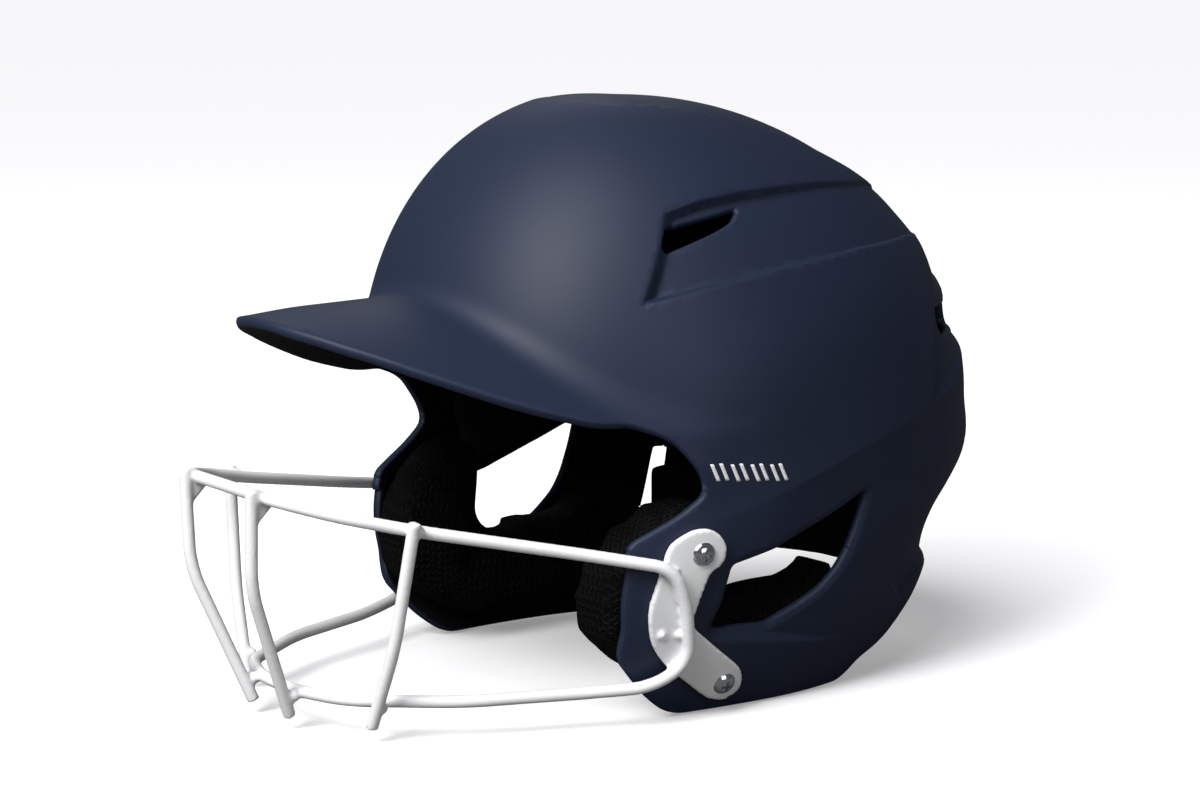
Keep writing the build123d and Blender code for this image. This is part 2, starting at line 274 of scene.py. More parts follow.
def spacerMesh():
    # knitted cells in staggered rows, the same from every side
    paint = Paint("spacerMesh", specular=0.06, sheen=0.0, sheenRoughness=0.5)
    x, y, z = paint.node("ShaderNodeSeparateXYZ", {}, {0: paint.place()})
    sine = lambda value: paint.node("ShaderNodeMath", dict(operation="SINE"), {0: value})[0]
    turn, quarter = 2 * math.pi / meshCell, math.pi / 2
    cells = (sine(x * turn) * sine(y * turn + quarter) + sine(y * turn) * sine(z * turn + quarter)
             + sine(z * turn) * sine(x * turn + quarter))
    web = paint.ramp(cells * 0.35 + 0.5, (0.30, 0.0), (0.48, 1.0), (0.66, 0.75), (0.9, 0.35))
    fibre = paint.noise(3400.0, 2.0)
    paint.set("color", paint.blend(web * (0.65 + fibre * 0.35), finishes["hollow"], finishes["thread"]))
    paint.set("roughness", 0.62 + fibre * 0.25)
    paint.set("normal", paint.bump(web + fibre * 0.15, 0.9, 0.0009))
    return paint.material


def paddingFoam():
    paint = Paint("paddingFoam", specular=0.2)
    pores = paint.noise(1500.0, 3.0)
    paint.set("color", paint.blend(paint.noise(60.0, 4.0), finishes["foam"], finishes["foamLight"]))
    paint.set("roughness", 0.72 + pores * 0.2)
    paint.set("normal", paint.bump(pores, 0.4, 0.0003))
    return paint.material


def metalFinish(name, bright, dull, roughness, grainScale):
    paint = Paint(name, metallic=1.0)
    grain = paint.noise(grainScale, 4.0)
    paint.set("color", paint.blend(grain, dull, bright))
    paint.set("roughness", roughness + grain * 0.10)
    paint.set("normal", paint.bump(grain, 0.08, 0.0001))
    return paint.material


def washerRubber():
    paint = Paint("washerRubber", specular=0.3)
    grain = paint.noise(1200.0, 3.0)
    paint.set("color", paint.blend(grain, finishes["rubber"], finishes["blackLight"]))
    paint.set("roughness", 0.6 + grain * 0.2)
    paint.set("normal", paint.bump(grain, 0.2, 0.0001))
    return paint.material


def printInk():
    paint = Paint("printInk", specular=0.4)
    grain = paint.noise(2200.0, 2.0)
    paint.set("color", paint.blend(grain * 0.5, finishes["white"], finishes["whiteDull"]))
    paint.set("roughness", 0.42 + grain * 0.15)
    paint.set("normal", paint.bump(grain, 0.1, 0.00005))
    return paint.material


# pale to the camera, duller for bounced light, so that the low parts stay dark
def floorPaper():
    paint = Paint("floorPaper", specular=0.1, glow=finishes["floor"], glowStrength=0.30)
    grain = paint.noise(220.0, 3.0)
    paint.set("color", finishes["floor"])
    paint.set("roughness", 0.85 + grain * 0.1)
    dull = paint.node("ShaderNodeBsdfDiffuse", {}, {"Color": finishes["floorDull"]})[0]
    seen = paint.node("ShaderNodeLightPath")[0]
    pale = Wire(paint, paint.shader.outputs[0])
    both = paint.node("ShaderNodeMixShader", {}, {0: seen, 1: dull, 2: pale})[0]
    paint.tree.links.new(both.socket, paint.output.inputs[0])
    return paint.material


paints = dict(shell=softTouchPaint(), inside=insidePlastic(), coat=powderCoat(), mesh=spacerMesh(),
              foam=paddingFoam(), ink=printInk(), rubber=washerRubber(),
              chrome=metalFinish("screwChrome", finishes["chrome"], finishes["chromeDull"], 0.10, 500.0),
              zinc=metalFinish("nutZinc", finishes["zinc"], finishes["zincDull"], 0.32, 900.0))
print("materials ready")


# ---- from bmesh to a finished piece ----
def addPiece(name, bm, materials, replaced=()):
    bmesh.ops.scale(bm, vec=(millimetre,) * 3, verts=bm.verts)
    mesh = bpy.data.meshes.new(name)
    bm.to_mesh(mesh)
    bm.free()
    for material in materials:
        mesh.materials.append(material)
    for polygon in mesh.polygons:
        polygon.use_smooth = True
    piece = bpy.data.objects.new(name, mesh)
    scene.collection.objects.link(piece)
    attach(piece, "root")
    if replaced:
        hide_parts(*replaced)
    print(name, len(mesh.polygons), "faces")
    return piece


# runs a modifier on a bmesh and gives the result as a new bmesh
def throughModifier(bm, kind, **settings):
    mesh = bpy.data.meshes.new("blank")
    bm.to_mesh(mesh)
    bm.free()
    holder = bpy.data.objects.new("blank", mesh)
    scene.collection.objects.link(holder)
    modifier = holder.modifiers.new("step", kind)
    for key, value in settings.items():
        setattr(modifier, key, value)
    bpy.context.view_layer.update()
    made = bpy.data.meshes.new_from_object(holder.evaluated_get(bpy.context.evaluated_depsgraph_get()))
    bpy.data.objects.remove(holder)
    bm = bmesh.new()
    bm.from_mesh(made)
    return bm


def relax(bm, rounds, factor=0.5):
    for turn in range(rounds):
        bmesh.ops.smooth_vert(bm, verts=bm.verts, factor=factor, use_axis_x=True, use_axis_y=True,
                              use_axis_z=True)


def coordinates(bm):
    return np.array([v.co for v in bm.verts], float)


# ---- drawing: lines in a view, their corners, offsets and distances ----
# a point may carry a third number, how far its corner is rounded back
def softCorners(points, trim, closed=False, steps=3):
    line = []
    count = len(points)
    for i, point in enumerate(points):
        here = np.array(point[:2])
        if not closed and i in (0, count - 1):
            line.append(tuple(here))
            continue
        before = np.array(points[i - 1][:2]) - here
        after = np.array(points[(i + 1) % count][:2]) - here
        back = min(point[2] if len(point) > 2 else trim, 0.49 * np.hypot(*before),
                   0.49 * np.hypot(*after))
        start = here + before / np.hypot(*before) * back
        end = here + after / np.hypot(*after) * back
        for k in range(steps + 1):
            t = k / steps
            line.append(tuple((1 - t) ** 2 * start + 2 * t * (1 - t) * here + t * t * end))
    return line


# moves a line to its right, by one distance or one for each end
def offsetLine(line, distance, endDistance=None, closed=False):
    count = len(line)
    moved = []
    for i, here in enumerate(line):
        before = line[i - 1] if closed or i > 0 else here
        after = line[(i + 1) % count] if closed or i < count - 1 else here
        along = np.subtract(after, before)
        along = along / max(np.hypot(*along), 1e-9)
        far = distance if endDistance is None else distance + (endDistance - distance) * i / (count - 1)
        moved.append((here[0] + along[1] * far, here[1] - along[0] * far))
    return moved


# distance of many points from a line, above zero on its right
def rightOf(line, points):
    nearest = np.full(len(points), 1e9)
    side = np.zeros(len(points))
    for start, end in zip(line, line[1:]):
        along = np.subtract(end, start)
        rel = points - np.array(start)
        t = np.clip(rel @ along / max(along @ along, 1e-9), 0, 1)
        gap = np.hypot(*(rel - t[:, None] * along).T)
        cross = rel[:, 0] * along[1] - rel[:, 1] * along[0]
        closer = gap < nearest - 1e-7
        nearest = np.where(closer, gap, nearest)
        side = np.where(closer, np.sign(cross), side)
    return nearest * side


def within(line, points):
    hit = np.zeros(len(points), bool)
    y, z = points.T
    for (y0, z0), (y1, z1) in zip(line, line[1:] + line[:1]):
        crosses = (z0 > z) != (z1 > z)
        at = y0 + (z - z0) * (y1 - y0) / (z1 - z0 if z1 != z0 else 1e-9)
        hit ^= crosses & (y < at)
    return hit


def between(ends, share):
    return ends[0] + (ends[1] - ends[0]) * share


def ease(low, high, x):
    t = np.clip((x - low) / (high - low), 0, 1)
    return t * t * (3 - 2 * t)


# a straight bank with rounded foot and brow, from 0 to 1
bankRound = 0.22


def bank(t):
    t = np.clip(t, 0, 1)
    rise = np.where(t < bankRound, t * t / (2 * bankRound),
                    np.where(t > 1 - bankRound, 1 - bankRound - (1 - t) ** 2 / (2 * bankRound),
                             t - bankRound / 2))
    return rise / (1 - bankRound)


# cuts a drawn line into the faces that it crosses, seen along one axis
def scoreLine(bm, line, axes, where=lambda middle: True, closed=False):
    a, b = axes
    points = list(line) + (list(line[:1]) if closed else [])
    lowA, highA = min(p[0] for p in points) - 7, max(p[0] for p in points) + 7
    lowB, highB = min(p[1] for p in points) - 7, max(p[1] for p in points) + 7
    region = set()
    for face in bm.faces:
        middle = face.calc_center_median()
        if lowA < middle[a] < highA and lowB < middle[b] < highB and where(middle):
            region.add(face)
    for start, end in zip(points, points[1:]):
        length = math.hypot(end[0] - start[0], end[1] - start[1])
        if length < 1e-6:
            continue
        normal, origin = Vector((0, 0, 0)), Vector((0, 0, 0))
        normal[a], normal[b] = -(end[1] - start[1]) / length, (end[0] - start[0]) / length
        origin[a], origin[b] = start
        nearA, farA = sorted((start[0], end[0]))
        nearB, farB = sorted((start[1], end[1]))
        touched = []
        for face in region:
            spanA = [v.co[a] for v in face.verts]
            spanB = [v.co[b] for v in face.verts]
            if min(spanA) <= farA and max(spanA) >= nearA and min(spanB) <= farB and max(spanB) >= nearB:
                touched.append(face)
        if touched:
            corners = list({v for f in touched for v in f.verts})
            edges = list({e for f in touched for e in f.edges})
            result = bmesh.ops.bisect_plane(bm, geom=corners + edges + touched, dist=0.03,
                                            plane_co=origin, plane_no=normal)
            region.update(g for g in result["geom"] if isinstance(g, bmesh.types.BMFace))


# ---- head form ----
headForm = dict(
    halfWidth=104.0, frontReach=108.0, rearReach=142.0, centreY=23.3 - shift, crownLean=11.4,
    baseZ=105.3, height=122.6, domePower=2.04, planPower=2.1, wall=4.0,
    skirtZ=(-6.0, 0.0, 18.0, 34.0, 50.0, 70.0, 88.0, 105.3),
    skirtWidth=(0.750, 0.780, 0.858, 0.912, 0.947, 0.980, 0.995, 0.9995),
    skirtRear=(0.660, 0.700, 0.805, 0.865, 0.885, 0.965, 1.013, 1.0),
    skirtFront=(1.39, 1.39, 1.39, 1.39, 1.36, 1.25, 1.12, 1.0))


def smoothRow(at, values, x):
    at, values = np.array(at), np.array(values)
    slopes = np.gradient(values, at)
    slopes[-1] = 0.0
    x = np.clip(x, at[0], at[-1])
    i = np.clip(np.searchsorted(at, x) - 1, 0, len(at) - 2)
    gap = at[i + 1] - at[i]
    t = (x - at[i]) / gap
    return ((2 * t ** 3 - 3 * t ** 2 + 1) * values[i] + (t ** 3 - 2 * t ** 2 + t) * gap * slopes[i]
            + (3 * t ** 2 - 2 * t ** 3) * values[i + 1] + (t ** 3 - t ** 2) * gap * slopes[i + 1])


def formLevel(z):
    h = headForm
    rise = np.clip((z - h["baseZ"]) / h["height"], 0.0, 1.0)
    shrink = np.maximum(1.0 - rise ** h["domePower"], 1e-9) ** (1.0 / h["domePower"])
    width = smoothRow(h["skirtZ"], h["skirtWidth"], z)
    rear = smoothRow(h["skirtZ"], h["skirtRear"], z)
    front = smoothRow(h["skirtZ"], h["skirtFront"], z)
    centre = h["centreY"] - h["crownLean"] * rise ** 1.5
    return (h["halfWidth"] * width * shrink, h["frontReach"] * front * shrink,
            h["rearReach"] * rear * shrink, centre)


def formX(y, z):
    half, front, rear, centre = formLevel(np.array(z, float))
    length = np.where(y > centre, rear, front)
    share = np.clip(1.0 - (np.abs(y - centre) / length) ** headForm["planPower"], 0, 1)
    return half * share ** (1.0 / headForm["planPower"])


# ---- shell: one sheet laid over head form and visor, cut, stepped, then given its wall ----
def inRow(points):
    return [(p[0] - shift,) + tuple(p[1:]) for p in points]


shellDrawing = dict(
    eye=(0.0, 6.0, 45.0), around=392, along=160,
    edgeBulge=1.3, edgeSteps=6, rimRounds=24, uneven=((-45.45, 114.4, 13.0), (-53.0, 33.0, 13.0)),
    sideStart=30.0, backStart=80.0,
    visorCrest=155.7, visorArch=0.005, visorTilt=0.03, tipCurl=1.2, tipCurlFrom=(-118.0, -146.0),
    visorSpare=4.5, spareFrom=(-45.0, -66.0), visorSoft=2.5, joinSoft=9.0, visorGate=(80.0, 98.0),
    # behind the visor its sheet sinks under the skin: how far past the skin, and where
    visorTail=((-0.2, -20.0), (-2.0, -10.0), (-5.0, 5.0), (-10.0, 25.0), (-14.0, 80.0), (-14.0, 140.0)),
    visorPlan=[(0.0, -145.5), (12.0, -144.6), (22.0, -142.0), (40.0, -132.0), (56.0, -116.5),
               (68.0, -100.0), (78.0, -83.0), (86.0, -63.5), (92.0, -44.0), (94.5, -27.0)],
    faceEdge=[(-45.45, 114.4), (-36.5, 110.2), (-29.5, 105.6), (-23.35, 98.7), (-19.4, 93.0),
              (-17.9, 86.5), (-27.3, 79.6), (-44.3, 70.8), (-47.0, 67.0), (-51.3, 55.8),
              (-53.8, 47.0), (-54.6, 37.0), (-52.9, 33.0), (-40.5, 18.6), (-32.4, 9.5),
              (-23.1, 2.5), (-16.4, 0.0), (25.0, 0.0)],
    rearEdge=[(25.0, 0.0), (64.5, 0.0), (69.5, 2.5), (74.5, 7.0), (92.5, 12.0), (110.5, 24.0),
              (168.0, 33.0)],
    earWindow=inRow([(-2.8, 58.2, 1.5), (16.0, 62.5, 2), (44.0, 72.8, 4), (59.0, 79.0, 0.6),
                     (56.5, 70.0, 5), (51.6, 58.1, 4), (46.6, 50.9, 3), (38.6, 44.2, 3),
                     (29.8, 38.7, 3), (17.1, 33.0, 2), (-7.2, 34.5, 1.5)]),
    topVent=inRow([(-17.6, 180.9, 2), (-12.2, 183.9, 3), (15.3, 188.6, 1), (11.1, 185.0, 2),
                   (6.3, 183.1, 2), (-20.5, 174.4, 1)]),
    pocketSlit=inRow([(95.0, 66.0, 1), (100.0, 66.0, 1), (92.0, 40.5, 1), (86.0, 40.5, 1)]),
    rearVent=[(41.5, 131.5, 3), (74.5, 131.5, 2.5), (74.5, 142.5, 3), (47.0, 142.5, 4)])
recess = dict(
    upper=[(-18.3, 186.9), (-3, 191.1), (15.5, 193.2), (36.2, 194), (59.7, 194), (97.9, 191.1),
           (135.0, 183.0)],
    lower=[(-35.4, 154.6), (-14, 159.3), (20.9, 165.1), (65.7, 169.2), (105, 170), (145.0, 166.0)],
    upperBank=(2.6, 1.2), lowerBank=(2.6, 1.0), frontBank=4.2, depth=4.2, rearDepth=1.2)
crown = dict(edge=[(-30.0, -25.5), (-8.0, -23.5), (0.0, -21.8), (23.0, -11.0), (35.0, 17.0), (40.0, 32.0),
                   (43.0, 49.0), (46.0, 61.5), (47.0, 80.0), (44.0, 100.0), (38.0, 122.0)],
             bank=3.0, depth=2.9)
bodyCrease = dict(line=[(-24.1, 74.4), (3.9, 81.3), (51.3, 96.7), (98.8, 108.2)],
                  above=0.11, below=0.12, reach=16.0)
rearPanel = dict(front=[(98.8, 108.2), (109.5, 145.0), (113.0, 168.0)],
                 floor=[(98.8, 108.2), (124.4, 113.0), (160.0, 128.0)], bank=1.6, foot=4.5, depth=2.6)
pocket = dict(front=[(81.3, 38.2), (88.3, 47.3), (90.9, 61.2), (98.4, 66.0)],
              floor=[(78.0, 39.5), (81.3, 38.2), (95.3, 27.0), (112.0, 36.0), (168.0, 40.0)],
              bank=1.8, foot=5.0, depth=3.2)
shelf = dict(line=[(-12.0, 29.2), (20.0, 25.6), (45.0, 22.2), (62.0, 22.4)], height=(5.0, 0.8), depth=2.0)
windowLip = dict(width=2.2, drop=0.9)


def planInRow(points):
    return [(p[0], p[1] - shift) for p in points]


def visorOutline(margin):
    return offsetLine(softCorners(planInRow(shellDrawing["visorPlan"]), 9.0), margin)


def visorSink(y):
    d = shellDrawing
    return d["visorTilt"] * -(y + shift) + d["tipCurl"] * ease(*d["tipCurlFrom"], y)


# how much a meeting of two surfaces is rounded, by how far they are apart
def softStep(apart, soft):
    mix = np.maximum(soft - np.abs(apart), 0) / soft
    return mix * mix * soft / 4


# how far the sheet is from the eye along each direction
def sheetReach(direction):
    d = shellDrawing
    eye = np.array(d["eye"])
    low, high = np.full(len(direction), 15.0), np.full(len(direction), 320.0)
    power = headForm["planPower"]
    for turn in range(32):
        middle = (low + high) / 2
        point = eye + direction * middle[:, None]
        half, front, rear, centre = formLevel(point[:, 2])
        length = np.where(point[:, 1] > centre, rear, front)
        inside = ((np.abs(point[:, 0]) / half) ** power
                  + (np.abs(point[:, 1] - centre) / length) ** power) < 1.0
        low, high = np.where(inside, middle, low), np.where(inside, high, middle)
    form = low
    x, y, z = direction.T
    drop = d["visorArch"] * x * x
    sink = np.zeros(len(x))
    for turn in range(5):       # the visor tips down to the front, so its height is found in steps
        rise = d["visorCrest"] - sink - eye[2]
        arch = (-z + np.sqrt(np.maximum(z * z + 4 * drop * rise, 0))) / np.maximum(2 * drop, 1e-12)
        arch = np.where(drop < 1e-7, rise / np.maximum(z, 1e-3), arch)
        sink = visorSink(np.clip(eye[1] + y * arch, -160.0, 60.0))
    # how far the visor goes in plan: past its outline in front, under the skin behind it
    outline = np.array(visorOutline(0.0))
    grow = np.array(visorOutline(d["visorSpare"]))
    share = ease(*d["spareFrom"], outline[:, 1])[:, None]
    rim = outline * (1 - share) + grow * share
    tail = [(float(formX(back, 106.0)) + over, back) for over, back in d["visorTail"]]
    rim = np.vstack([rim, tail, [(0.0, 145.0)]])
    angle = np.arctan2(rim[:, 0], -(rim[:, 1] - eye[1]))
    away = np.hypot(rim[:, 0], rim[:, 1] - eye[1])
    bearing = np.arctan2(np.abs(x), -y)
    limit = np.interp(bearing, angle, away) / np.maximum(np.hypot(x, y), 1e-6)
    visor = np.minimum(arch, limit) - softStep(arch - limit, d["visorSoft"])
    joined = np.maximum(form, visor) + softStep(form - visor, d["joinSoft"])
    return form + (joined - form) * ease(*d["visorGate"], eye[2] + z * form)


# how far the skin is let in at each point by recess, crown channel, creases, pockets and bevel
def surfaceDrop(point):
    x, y, z = np.abs(point[:, 0]), point[:, 1], point[:, 2]
    side = point[:, 1:3]
    r = recess
    wide = ease(-30.0, 110.0, y)
    front = [r["lower"][0], r["upper"][0]]
    inUpper = rightOf(r["upper"], side) / between(r["upperBank"], wide)
    inLower = -rightOf(r["lower"], side) / between(r["lowerBank"], wide)
    inFront = rightOf(front, side) / r["frontBank"]
    fade = 1 - ease(118.0, 140.0, y)
    depth = between((r["rearDepth"], r["depth"]), 1 - ease(-20.0, 95.0, y)) * fade
    drop = depth * np.minimum(np.minimum(bank(inUpper), bank(inLower)), bank(inFront)) * (z > 140)
    # crown channel, drawn in plan
    c = crown
    inCrown = -rightOf(c["edge"], np.column_stack([x, y])) / c["bank"]
    start = ease(-22.0, 18.0, y) * (1 - ease(90.0, 118.0, y))
    drop += c["depth"] * bank(inCrown) * start * (z > 150) * (y < 122)
    # body crease: the skin leans in above it and under it
    b = bodyCrease
    off = rightOf(b["line"], side)
    span = ease(-26.0, 0.0, y) * (1 - ease(88.0, 112.0, y))
    above = b["above"] * b["reach"] * (1 - np.exp(-np.maximum(-off, 0) / b["reach"]))
    above *= 1 - ease(10.0, 55.0, -off)
    below = b["below"] * b["reach"] * (1 - np.exp(-np.maximum(off, 0) / b["reach"]))
    below *= (1 - ease(14.0, 44.0, off)) * ease(8.0, 30.0, y)
    drop += (above + below) * span * (z > 20) * (z < 165)
    # rear panel behind its upright edge and above its ledge
    p = rearPanel
    behind = rightOf(p["front"], side) / p["bank"]
    over = -rightOf(p["floor"], side) / p["foot"]
    drop += p["depth"] * np.minimum(bank(behind), bank(over)) * (1 - ease(146.0, 168.0, z)) * (y > 90)
    # nape pocket
    k = pocket
    behind = rightOf(k["front"], side) / k["bank"]
    over = -rightOf(k["floor"], side) / k["foot"]
    drop += k["depth"] * np.minimum(bank(behind), bank(over)) * (1 - ease(58.0, 84.0, z)) * (y > 70)
    # shelf under the ear window
    s = shelf
    over = -rightOf(s["line"], side) / between(s["height"], ease(-10.0, 60.0, y))
    amount = s["depth"] * (1 - ease(18.0, 62.0, y)) * ease(-16.0, -9.0, y)
    drop += amount * bank(over) * (1 - ease(33.0, 46.0, z)) * (z < 60) * (z > 10)
    # bevel round the ear window
    gap = rightOf(windowRim + windowRim[:1], side) * windowTurn
    drop += windowLip["drop"] * (1 - np.clip(gap / windowLip["width"], 0, 1)) * (x > 60)
    return drop


def windowLines():
    d = shellDrawing
    bulge = d["edgeBulge"]
    lines = {}
    for name in ("earWindow", "topVent", "pocketSlit"):
        line = softCorners(d[name], 2.0, closed=True)
        lines[name] = orient(line, bulge)
    lines["rearVent"] = orient(softCorners(d["rearVent"], 3.0, closed=True), bulge)
    return lines


# grows a closed line by a distance, whichever way round it is drawn
def orient(line, distance):
    area = sum(p[0] * q[1] - q[0] * p[1] for p, q in zip(line, line[1:] + line[:1]))
    return offsetLine(line, distance if area > 0 else -distance, closed=True)


windowRim = windowLines()["earWindow"]
farInFront = np.array([(-60.0, 60.0)])
windowTurn = 1.0 if rightOf(windowRim + windowRim[:1], farInFront)[0] > 0 else -1.0


def makeShell():
    d = shellDrawing
    bulge = d["edgeBulge"]
    bm = bmesh.new()
    bmesh.ops.create_uvsphere(bm, u_segments=d["around"], v_segments=d["along"], radius=100.0)
    bmesh.ops.rotate(bm, cent=(0, 0, 0), matrix=Matrix.Rotation(math.pi / 2, 3, "Y"), verts=bm.verts)
    bmesh.ops.bisect_plane(bm, geom=bm.verts[:] + bm.edges[:] + bm.faces[:], dist=0.01,
                           plane_co=(0, 0, 0), plane_no=(1, 0, 0), clear_inner=True)
    eye = np.array(d["eye"])
    layOut(bm, eye)
    print("sheet laid", len(bm.faces))
    onSide = lambda middle: middle.x > d["sideStart"]
    faceLine = softCorners(d["faceEdge"], 5.0)
    faceLine = offsetLine(faceLine, -bulge)
    rearLine = offsetLine(softCorners(d["rearEdge"], 6.0), -bulge)
    visorLine = visorOutline(-bulge)
    openings = windowLines()
    scoreLine(bm, faceLine, (1, 2))
    scoreLine(bm, rearLine, (1, 2))
    scoreLine(bm, visorLine, (0, 1), lambda middle: middle.y < -30 and middle.z > 98)
    for name in ("earWindow", "topVent", "pocketSlit"):
        scoreLine(bm, openings[name], (1, 2), onSide, closed=True)
    scoreLine(bm, openings["rearVent"], (0, 2), lambda middle: middle.y > d["backStart"], closed=True)
    scoreLine(bm, orient(windowRim, windowLip["width"]), (1, 2), onSide, closed=True)
    print("openings scored", len(bm.faces))
    scoreCreases(bm)
    print("creases scored", len(bm.faces))
    # clear what lies outside the outline or in an opening
    bm.faces.ensure_lookup_table()
    middle = np.array([f.calc_center_median() for f in bm.faces])
    side, plan, rear = middle[:, 1:3], middle[:, 0:2], middle[:, (0, 2)]
    faceArea = faceLine + [(-16.0, -80.0), (-400.0, -80.0), (-400.0, faceLine[0][1])]
    underArea = rearLine + [(400.0, rearLine[-1][1]), (400.0, -80.0), (24.0, -80.0)]
    visorArea = visorLine + [(120.0, faceLine[0][0]), (120.0, -400.0), (-5.0, -400.0),
                             (-5.0, visorLine[0][1])]
    gone = within(faceArea, side) | within(underArea, side) | (side[:, 1] < bulge)
    inFront = side[:, 0] < faceLine[0][0]
    visorTop = d["visorCrest"] - d["visorArch"] * middle[:, 0] ** 2 - visorSink(middle[:, 1])
    gone |= inFront & (within(visorArea, plan) | (middle[:, 2] < visorTop - 3.0))
    for name in ("earWindow", "topVent", "pocketSlit"):
        gone |= within(openings[name], side) & (middle[:, 0] > d["sideStart"])
    gone |= within(openings["rearVent"], rear) & (middle[:, 1] > d["backStart"])
    doomed = [f for f, out in zip(bm.faces, gone) if out]
    bmesh.ops.delete(bm, geom=doomed, context="FACES")
    layOut(bm, eye)
    for v in bm.verts:
        if abs(v.co.x) < 0.05:
            v.co.x = 0.0
    bmesh.ops.dissolve_degenerate(bm, dist=0.02, edges=bm.edges)
    evenRim(bm)
    layOut(bm, eye)
    bmesh.ops.mirror(bm, geom=bm.verts[:] + bm.edges[:] + bm.faces[:], matrix=Matrix.Identity(4),
                     merge_dist=0.02, axis="X")
    bmesh.ops.remove_doubles(bm, verts=bm.verts, dist=0.02)
    bmesh.ops.recalc_face_normals(bm, faces=bm.faces)
    bm.faces.ensure_lookup_table()
    top = max(bm.faces, key=lambda f: f.calc_center_median().z)
    if top.normal.z < 0:
        bmesh.ops.reverse_faces(bm, faces=bm.faces)
    bm.normal_update()
    drop = surfaceDrop(coordinates(bm))
    normals = [v.normal.copy() for v in bm.verts]
    for v, n, amount in zip(bm.verts, normals, drop):
        v.co -= n * float(amount)
    bm.normal_update()
    print("sheet done", len(bm.faces))
    return bm


# evens out the cut edge where the visor runs into the face edge and at the flap's front
def evenRim(bm):
    rim = [v for v in bm.verts if v.is_boundary and v.co.x > 0.05
           and any(math.hypot(v.co.y - y, v.co.z - z) < reach for y, z, reach in shellDrawing["uneven"])]
    for turn in range(shellDrawing["rimRounds"]):
        moved = {}
        for v in rim:
            ends = [e.other_vert(v) for e in v.link_edges if e.is_boundary]
            if len(ends) == 2:
                moved[v] = v.co * 0.5 + (ends[0].co + ends[1].co) * 0.25
        for v, co in moved.items():
            v.co = co


# pushes every point out from the eye onto the sheet
def layOut(bm, eye):
    away = coordinates(bm)
    if np.abs(np.hypot(*away[:, 1:3].T).max() - 100.0) > 0.1 or away[:, 2].max() > 101.0:
        away = away - eye
    direction = away / np.linalg.norm(away, axis=1)[:, None]
    direction[np.abs(direction[:, 0]) < 1e-5, 0] = 0.0
    placed = eye + direction * sheetReach(direction)[:, None]
    for v, co in zip(bm.verts, placed):
        v.co = co


def scoreCreases(bm):
    onSide = lambda middle: middle.x > 20
    onTop = lambda middle: middle.z > 160
    ends = (0.0, bankRound, 1 - bankRound, 1.0)
    r = recess
    for name, widths, turn in (("upper", r["upperBank"], 1), ("lower", r["lowerBank"], -1)):
        line = softCorners(r[name], 6.0)
        for share in ends:
            scoreLine(bm, offsetLine(line, *(turn * width * share for width in widths)), (1, 2), onSide)
    for share in ends:
        scoreLine(bm, offsetLine([r["lower"][0], r["upper"][0]], r["frontBank"] * share), (1, 2), onSide)
    for share in ends:
        scoreLine(bm, offsetLine(crown["edge"][2:], -crown["bank"] * share), (0, 1), onTop)
    for share in (-1.0, 0.0, 1.0):
        scoreLine(bm, offsetLine(bodyCrease["line"], share), (1, 2), onSide)
    for share in ends:
        for drawing in (rearPanel, pocket):
            scoreLine(bm, offsetLine(drawing["front"], drawing["bank"] * share), (1, 2), onSide)
            scoreLine(bm, offsetLine(drawing["floor"], -drawing["foot"] * share), (1, 2), onSide)
        scoreLine(bm, offsetLine(shelf["line"], *(-high * share for high in shelf["height"])), (1, 2), onSide)


# gives the open sheet its wall: a copy inside and a round edge between the two
def addWall(bm):
    d = shellDrawing
    wall, bulge, count = headForm["wall"], d["edgeBulge"], d["edgeSteps"]
    bm.normal_update()
    outer = bm.faces[:]
    inner = bmesh.ops.duplicate(bm, geom=bm.verts[:] + bm.edges[:] + outer)
    twin = {v: inner["vert_map"][v] for f in outer for v in f.verts}
    innerFaces = [g for g in inner["geom"] if isinstance(g, bmesh.types.BMFace)]
    normals = {v: v.normal.copy() for v in twin}
    for v, other in twin.items():
        other.co = v.co - normals[v] * wall
    bmesh.ops.reverse_faces(bm, faces=innerFaces)
    outerSet = set(outer)
    edges = [e for e in bm.edges if len(e.link_faces) == 1 and e.link_faces[0] in outerSet]
    away = {}
    for e in edges:
        face = e.link_faces[0]
        middle = (e.verts[0].co + e.verts[1].co) / 2
        out = (e.verts[1].co - e.verts[0].co).cross(face.normal)
        if out.dot(face.calc_center_median() - middle) > 0:
            out.negate()
        for v in e.verts:
            away[v] = away.get(v, Vector()) + out
    start = {v: (v.co.copy(), normals[v], (a - normals[v] * a.dot(normals[v])).normalized())
             for v, a in away.items()}
    source = {v: v for v in start}
    ring = edges
    for step in range(1, count + 1):
        turn = math.pi * step / count
        made = bmesh.ops.extrude_edge_only(bm, edges=ring)["geom"]
        ring = [g for g in made if isinstance(g, bmesh.types.BMEdge)]
        newVerts = [g for g in made if isinstance(g, bmesh.types.BMVert)]
        nextSource = {}
        for v in newVerts:
            origin = next(source[e.other_vert(v)] for e in v.link_edges if e.other_vert(v) in source)
            co, normal, out = start[origin]
            v.co = co + out * bulge * math.sin(turn) - normal * wall / 2 * (1 - math.cos(turn))
            nextSource[v] = origin
        for face in (g for g in made if isinstance(g, bmesh.types.BMFace)):
            face.material_index = 0 if step < count else 1
        source = nextSource
    for face in innerFaces:
        face.material_index = 1
    bmesh.ops.weld_verts(bm, targetmap={v: twin[o] for v, o in source.items()})
    bmesh.ops.recalc_face_normals(bm, faces=[f for f in bm.faces if f not in outerSet])
    return bm


